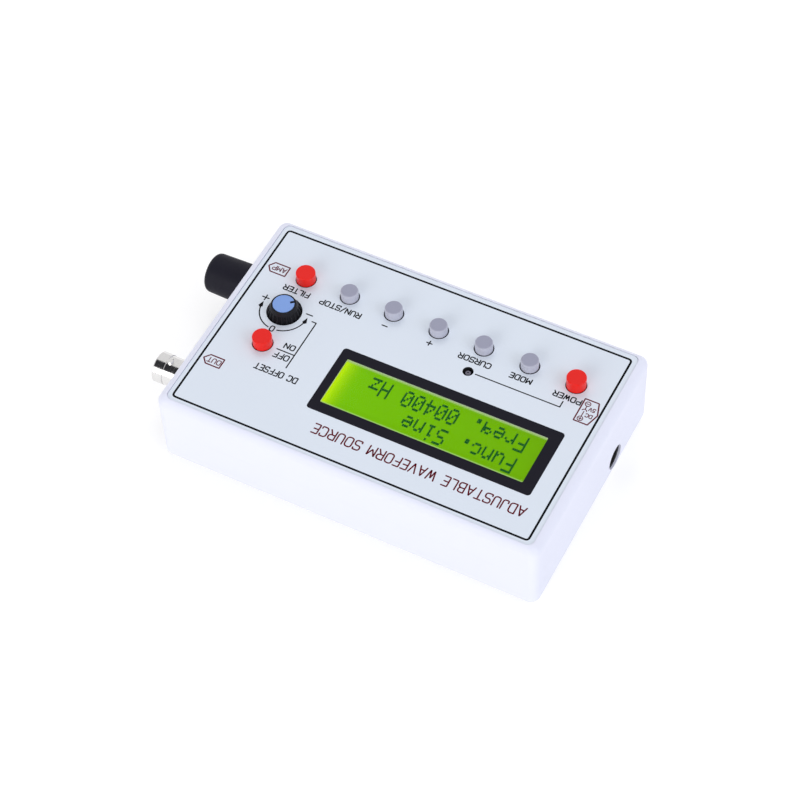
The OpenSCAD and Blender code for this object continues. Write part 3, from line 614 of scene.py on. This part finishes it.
def rounded(points, radius, closed=False, steps=5):
    """Points of a path whose corners are cut to curves that start up to a radius from them."""
    points = [Vector(p) for p in points]
    path = []
    for i, here in enumerate(points):
        if not closed and i in (0, len(points) - 1):
            path.append(here)
            continue
        before, after = points[i - 1], points[(i + 1) % len(points)]
        reach = min(radius, (before - here).length / 2, (after - here).length / 2)
        start = here + (before - here).normalized() * reach
        end = here + (after - here).normalized() * reach
        for t in (s / steps for s in range(steps + 1)):
            path.append(start * (1 - t) ** 2 + here * (2 * t * (1 - t)) + end * t ** 2)
    return [p for i, p in enumerate(path) if i == 0 or (p - path[i - 1]).length > 1e-4]


def arc(centre, radius, start, stop, steps=24):
    """Points of a circular arc between two angles in degrees."""
    angles = [math.radians(start + (stop - start) * i / steps) for i in range(steps + 1)]
    return [Vector((centre[0] + radius * math.cos(a), centre[1] + radius * math.sin(a))) for a in angles]


def line(*points):
    """A stroke of a letter with crisp corners."""
    return points, 0.5


def curve(*points):
    """A stroke of a letter with round corners."""
    return points, 3.0


# letters on a grid 6 high, each with its width
LETTERS = {
    "A": (4.2, [line((0, 0), (2.1, 6), (4.2, 0)), line((0.7, 2), (3.5, 2))]),
    "B": (4, [line((0, 0), (0, 6)), curve((0, 6), (3.6, 6), (3.6, 3.2), (0, 3.2)),
              curve((0, 3.2), (4, 3.2), (4, 0), (0, 0))]),
    "C": (4, [curve((4, 4.8), (4, 6), (0, 6), (0, 0), (4, 0), (4, 1.2))]),
    "D": (4, [line((0, 0), (0, 6)), curve((0, 6), (4, 6), (4, 0), (0, 0))]),
    "E": (3.6, [line((3.6, 6), (0, 6), (0, 0), (3.6, 0)), line((0, 3.1), (3, 3.1))]),
    "F": (3.5, [line((3.5, 6), (0, 6), (0, 0)), line((0, 3.1), (2.9, 3.1))]),
    "I": (0.4, [line((0.2, 0), (0.2, 6))]),
    "J": (3.2, [curve((3.2, 6), (3.2, 0), (0, 0), (0, 1.4))]),
    "L": (3.3, [line((0, 6), (0, 0), (3.3, 0))]),
    "M": (4.6, [line((0, 0), (0, 6), (2.3, 1.8), (4.6, 6), (4.6, 0))]),
    "N": (4, [line((0, 0), (0, 6), (4, 0), (4, 6))]),
    "O": (4.2, [curve((0, 3), (0, 6), (4.2, 6), (4.2, 0), (0, 0), (0, 3))]),
    "P": (4, [line((0, 0), (0, 6)), curve((0, 6), (4, 6), (4, 2.8), (0, 2.8))]),
    "R": (4, [line((0, 0), (0, 6)), curve((0, 6), (4, 6), (4, 2.9), (0, 2.9)), line((2, 2.9), (4, 0))]),
    "S": (4, [curve((4, 5), (4, 6), (0, 6), (0, 3.1), (4, 3.1), (4, 0), (0, 0), (0, 1))]),
    "T": (4, [line((0, 6), (4, 6)), line((2, 6), (2, 0))]),
    "U": (4, [curve((0, 6), (0, 0), (4, 0), (4, 6))]),
    "V": (4, [line((0, 6), (2, 0), (4, 6))]),
    "W": (5, [line((0, 6), (1.2, 0), (2.5, 5), (3.8, 0), (5, 6))]),
    "0": (3.4, [curve((0, 3), (0, 6), (3.4, 6), (3.4, 0), (0, 0), (0, 3))]),
    "5": (3.6, [line((3.4, 6), (0.6, 6), (0.4, 3.4)),
                curve((0.4, 3.4), (3.6, 3.8), (3.6, 0), (0, 0), (0, 1))]),
    "/": (3.2, [line((0, -0.4), (3.2, 6.4))]),
    "+": (5.4, [line((0, 3), (5.4, 3)), line((2.7, 0.3), (2.7, 5.7))]),
    "-": (5.4, [line((0, 3), (5.4, 3))]),
    " ": (2.2, []),
}
GRID_H = 6.0
LETTER_GAP = 1.6


class Marks:
    """Flat printed marks that become one thin closed mesh."""

    STEP = 0.0008
    LEVELS = 4

    def __init__(self, name, width=0.0, low=PANEL_TOP - 0.02, high=PANEL_TOP + 0.012):
        self.name, self.width, self.low, self.high = name, width, low, high
        self.corners, self.faces, self.count = [], [], 0

    def heights(self):
        """Bottom and top of the next mark; marks that cross differ a little in height."""
        self.count += 1
        return self.low, self.high + self.STEP * (self.count % self.LEVELS)

    def band(self, path, closed=False):
        """A stroke of the mark's width along a path, with round ends where it is open."""
        low, high = self.heights()
        half = self.width / 2
        sections = []
        for i, here in enumerate(path):
            before = path[i - 1] if closed or i else here
            after = path[(i + 1) % len(path)] if closed or i < len(path) - 1 else here
            sections.append((here, (after - before).normalized(), half))
        if not closed:
            for end, sign in ((0, -1), (-1, 1)):
                here, along, _ = sections[end]
                cap = [(here + along * sign * half * math.sin(a), along, half * math.cos(a))
                       for a in (math.radians(d) for d in (30, 55, 78))]
                sections = cap[::-1] + sections if sign < 0 else sections + cap
        first = len(self.corners)
        for here, along, reach in sections:
            side = Vector((-along.y, along.x)) * reach
            left, right = here + side, here - side
            for place, z in ((left, low), (right, low), (right, high), (left, high)):
                self.corners.append((place.x * MM, place.y * MM, z * MM))
        count = len(sections)
        for i in range(count if closed else count - 1):
            a, b = first + 4 * i, first + 4 * ((i + 1) % count)
            for k in range(4):
                n = (k + 1) % 4
                self.faces.append((a + k, a + n, b + n, b + k))
        if not closed:
            last = first + 4 * (count - 1)
            self.faces.append((first + 3, first + 2, first + 1, first))
            self.faces.append((last, last + 1, last + 2, last + 3))

    def patch(self, outline):
        """A filled shape inside an outline that runs anticlockwise."""
        low, high = self.heights()
        first, count = len(self.corners), len(outline)
        for z in (low, high):
            self.corners += [(x * MM, y * MM, z * MM) for x, y in outline]
        self.faces.append(tuple(first + i for i in reversed(range(count))))
        self.faces.append(tuple(first + count + i for i in range(count)))
        for i in range(count):
            n = (i + 1) % count
            self.faces.append((first + i, first + n, first + count + n, first + count + i))

    def letter(self, sign, corner, scale_x, scale_y):
        """One letter whose grid starts at a corner."""
        for points, radius in LETTERS[sign][1]:
            places = [Vector((corner.x + x * scale_x, corner.y + y * scale_y)) for x, y in points]
            closed = points[0] == points[-1]
            reach = radius * (scale_x + scale_y) / 2
            self.band(rounded(places[:-1] if closed else places, reach, closed), closed)

    def words(self, text, left, base, height, scale_x):
        """Letters side by side from a lower left corner."""
        x = left
        for sign in text:
            self.letter(sign, Vector((x, base)), scale_x, height / GRID_H)
            x += (LETTERS[sign][0] + LETTER_GAP) * scale_x

    def label(self, text, centre, height, unit=0.315):
        """Words centred on a point; the unit is the width of one step of the letters' grid."""
        self.words(text, centre[0] - grid_length(text) * unit / 2, centre[1] - height / 2, height, unit)

    def done(self, material, body="body"):
        """The finished piece, riding on a body."""
        mesh = bpy.data.meshes.new(self.name)
        mesh.from_pydata(self.corners, [], self.faces)
        mesh.materials.append(material)
        mesh.update()
        piece = bpy.data.objects.new(self.name, mesh)
        bpy.context.scene.collection.objects.link(piece)
        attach(piece, body)
        return piece


def grid_length(text):
    """Length of some words in steps of the letters' grid."""
    return sum(LETTERS[sign][0] + LETTER_GAP for sign in text) - LETTER_GAP


# ---- what is printed on the panel ----------------------------------------------------------------

BORDER = (Vector((-56.78, -34.57)), Vector((56.93, 34.97)))
BORDER_CORNER = 1.1
POINTER_ANGLE = 218.5
FINE = 0.39
TAG_LINE = 0.42
TAG_CORNER = 0.12
LEADER_CORNER = 0.1
NAME_OFFSET = Vector((0.4, 5.25))
TITLE = "ADJUSTABLE WAVEFORM SOURCE"
BUTTON_NAMES = {"power_cap": "POWER", "mode_cap": "MODE", "cursor_cap": "CURSOR", "plus_cap": "+",
                "minus_cap": "-", "run_stop_cap": "RUN/STOP", "filter_cap": "FILTER"}


def print_border(ink):
    marks = Marks("print_border", 0.65)
    low, high = BORDER
    corners = [(low.x, low.y), (high.x, low.y), (high.x, high.y), (low.x, high.y)]
    marks.band(rounded(corners, BORDER_CORNER, closed=True), closed=True)
    marks.done(ink)


def print_title(ink):
    marks = Marks("print_title", 0.45)
    left, right = -52.0, 14.7
    marks.words(TITLE, left, 25.45, 3.3, (right - left) / grid_length(TITLE))
    marks.done(ink)


def print_labels(ink):
    """Names of the buttons, each beside its own cap."""
    marks = Marks("print_labels", FINE)
    for node, text in BUTTON_NAMES.items():
        marks.label(text, middle(node) + NAME_OFFSET, 1.8)
    marks.done(ink)


def print_leader(ink):
    """Line from the indicator to the name of the power button."""
    marks = Marks("print_leader", 0.38)
    led = middle("power_led")
    corner_x = middle("power_cap").x + 0.95
    path = [(led.x - 2.4, led.y), (corner_x, led.y), (corner_x, led.y - 2.2)]
    marks.band(rounded(path, LEADER_CORNER))
    marks.done(ink)


def print_offset_legend(ink):
    """Heading, bracket and the two states of the offset button."""
    marks = Marks("print_offset_legend", FINE)
    button, dial = middle("offset_cap"), middle("offset_knob")
    line_x = button.x - 10.6
    marks.label("DC OFFSET", (button.x - 8.9, button.y + 8.0), 2.0, 0.3)
    marks.label("OFF", (button.x - 7.3, button.y + 1.95), 1.9, 0.33)
    marks.label("ON", (button.x - 7.9, button.y - 2.15), 1.8, 0.33)
    bracket = [(line_x, button.y + 5.0), (line_x, dial.y - 0.1), (line_x + 1.4, dial.y - 0.1)]
    marks.band(rounded(bracket, LEADER_CORNER))
    marks.band([Vector((line_x, button.y)), Vector((line_x + 5.8, button.y))])
    marks.done(ink)


def print_dial(ink):
    """Arrows that show which way the offset knob turns."""
    marks = Marks("print_dial", FINE)
    dial = middle("offset_knob")
    reach, gap, tip, wing = 7.4, 11.5, 2.1, 0.72
    for sign in (-1, 1):
        marks.band(arc(dial, reach, 90 - sign * gap, 90 - sign * 80))
        x, y = dial.x + sign * reach, dial.y + 1.3
        marks.patch([(x - wing, y - 0.1), (x, y - tip), (x + wing, y - 0.1), (x, y + 0.45)])
    marks.label("0", (dial.x + 0.1, dial.y + 7.3), 1.9, 0.36)
    marks.label("-", (dial.x - 7.4, dial.y - 2.0), 1.8, 0.37)
    marks.label("+", (dial.x + 7.5, dial.y - 2.2), 2.2, 0.4)
    marks.done(ink)


def print_tag(name, text, low, high, tip, ink):
    """Arrow-shaped frame that points to a connector, with a short word."""
    marks = Marks(name, TAG_LINE)
    level = (low[1] + high[1]) / 2
    outline = [low, (high[0], low[1]), (tip, level), high, (low[0], high[1])]
    marks.band(rounded(outline, TAG_CORNER, closed=True), closed=True)
    marks.width = 0.29
    marks.label(text, ((low[0] + high[0]) / 2 + 0.25, level), 1.65, 0.27)
    marks.done(ink)


def print_inlet_tag(ink):
    """Arrow-shaped frame that points to the inlet, with its polarity sign."""
    marks = Marks("print_inlet_tag", TAG_LINE)
    right, shoulder, tip, low, high = -50.5, -54.85, -56.15, -16.15, -7.85
    mid = (low + high) / 2
    outline = [(right, low), (right, high), (shoulder, high), (tip, mid), (shoulder, low)]
    marks.band(rounded(outline, TAG_CORNER, closed=True), closed=True)
    marks.width = 0.27
    x, ring = right - 1.5, 0.8
    for y in (high - 1.25, low + 1.5):
        marks.band(arc((x, y), ring, 0, 360)[:-1], closed=True)
        marks.band([Vector((x - 0.4, y)), Vector((x + 0.4, y))])
    marks.band([Vector((x, high - 2.05)), Vector((x, mid + 0.15))])
    marks.band(arc((x, mid + 0.15), 0.75, 200, 340, 10))
    marks.band([Vector((x, mid - 0.6)), Vector((x, low + 2.3))])
    marks.band([Vector((x, high - 1.65)), Vector((x, high - 0.85))])
    marks.label("DC", (right - 3.45, mid + 1.15), 1.2, 0.2)
    marks.label("5V", (right - 3.45, mid - 1.2), 1.2, 0.2)
    marks.done(ink)


def fill_pointer(ink):
    """Black filling of the notch in the offset knob's disc."""
    low, high = box_mm("offset_knob_cap")
    reach, way = (high.x - low.x) / 2, math.radians(POINTER_ANGLE)
    marks = Marks("offset_pointer", 0.72, high.z - 0.74, high.z - 0.02)
    out = Vector((math.cos(way), math.sin(way)))
    centre = middle("offset_knob_cap")
    marks.band([centre + out * (reach - 0.9), centre + out * (reach - 0.4)])
    marks.done(ink, "offset_dial")


def ink(name, colour):
    """Screen-printed ink with a dull, even face."""
    made = Surface(name, colour, (0.35, 0.5), grain_size=0.12, grain_depth=0.002, edge=0, specular=0.1)
    return made.material


def print_panel():
    """Everything printed on the panel, each ink shared by its marks."""
    black = ink("ink_black", (0.003, 0.003, 0.005))
    red = ink("ink_red", (0.11, 0.004, 0.012))
    crimson = ink("ink_crimson", (0.11, 0.003, 0.014))
    print_border(black)
    print_title(red)
    print_labels(black)
    print_leader(black)
    print_offset_legend(black)
    print_dial(black)
    print_tag("print_output_tag", "OUT", (49.7, 17.1), (54.3, 20.5), 55.75, crimson)
    print_tag("print_amplitude_tag", "AMP", (49.3, -21.75), (54.3, -18.15), 55.65, crimson)
    print_inlet_tag(crimson)
    fill_pointer(black)


# ---- display -------------------------------------------------------------------------------------

# five by seven dots, row by row from the top
DOTS = {
    "F": "11111 10000 10000 11110 10000 10000 10000",
    "u": "00000 00000 10001 10001 10001 10011 01101",
    "n": "00000 00000 10110 11001 10001 10001 10001",
    "c": "00000 00000 01110 10000 10000 10001 01110",
    ".": "00000 00000 00000 00000 00000 01100 01100",
    "S": "01111 10000 10000 01110 00001 00001 11110",
    "i": "00100 00000 01100 00100 00100 00100 01110",
    "e": "00000 00000 01110 10001 11111 10000 01110",
    "r": "00000 00000 10110 11001 10000 10000 10000",
    "q": "00000 00000 01101 10011 01111 00001 00001",
    "0": "01110 10001 10011 10101 11001 10001 01110",
    "4": "00010 00110 01010 10010 11111 00010 00010",
    "H": "10001 10001 10001 11111 10001 10001 10001",
    "z": "00000 00000 11111 00010 00100 01000 11111",
}
READOUT = ["Func. Sine", "Freq. 00400 Hz"]
GLASS_T = 1.1
CELL_PITCH = 3.62
DOT_PITCH = Vector((CELL_PITCH / 6, 0.83))
DOT_GAP = 0.02
ROW_PITCH = 7.9
FIRST_DOT = Vector((-26.85, -6.85))


def slab(name, low, high, material):
    """Flat plate with softened edges between two corners in millimetres."""
    mesh = bpy.data.meshes.new(name)
    corners = [(x * MM, y * MM, z * MM) for z in (low.z, high.z) for x, y in
               ((low.x, low.y), (high.x, low.y), (high.x, high.y), (low.x, high.y))]
    sides = [(i, (i + 1) % 4, (i + 1) % 4 + 4, i + 4) for i in range(4)]
    mesh.from_pydata(corners, [], [(3, 2, 1, 0), (4, 5, 6, 7), *sides])
    mesh.materials.append(material)
    piece = bpy.data.objects.new(name, mesh)
    bpy.context.scene.collection.objects.link(piece)
    soften = piece.modifiers.new("soften", "BEVEL")
    soften.width = 0.08 * MM
    soften.segments = 2
    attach(piece, "body")
    return piece


def add_display(glass):
    """Lit cell, its dots and the glass in front of them, in place of the plain display block."""
    low, high = box_mm("lcd_glass")
    seam = high.z - GLASS_T
    cell = slab("lcd_cell", low, Vector((high.x, high.y, seam - 0.03)), lcd_cell().material)
    slab("lcd_front_glass", Vector((low.x, low.y, seam)), high, glass)
    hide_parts("lcd_glass")
    marks = Marks("lcd_characters", low=seam - 0.032, high=seam - 0.016)
    corner = middle("lcd_bezel") + FIRST_DOT
    dot = DOT_PITCH - Vector((DOT_GAP, DOT_GAP))
    for row, text in enumerate(reversed(READOUT)):
        for column, sign in enumerate(text):
            if sign == " ":
                continue
            for j, bits in enumerate(reversed(DOTS[sign].split())):
                for i in (i for i, bit in enumerate(bits) if bit == "1"):
                    x = corner.x + column * CELL_PITCH + i * DOT_PITCH.x
                    y = corner.y + row * ROW_PITCH + j * DOT_PITCH.y
                    marks.patch([(x, y), (x + dot.x, y), (x + dot.x, y + dot.y), (x, y + dot.y)])
    marks.done(lcd_dot().material)


# ---- all of it -----------------------------------------------------------------------------------

add_camera()
add_floor()
add_lights()
finishes = dress_frame()
print_panel()
add_display(finishes["lcd_glass"])
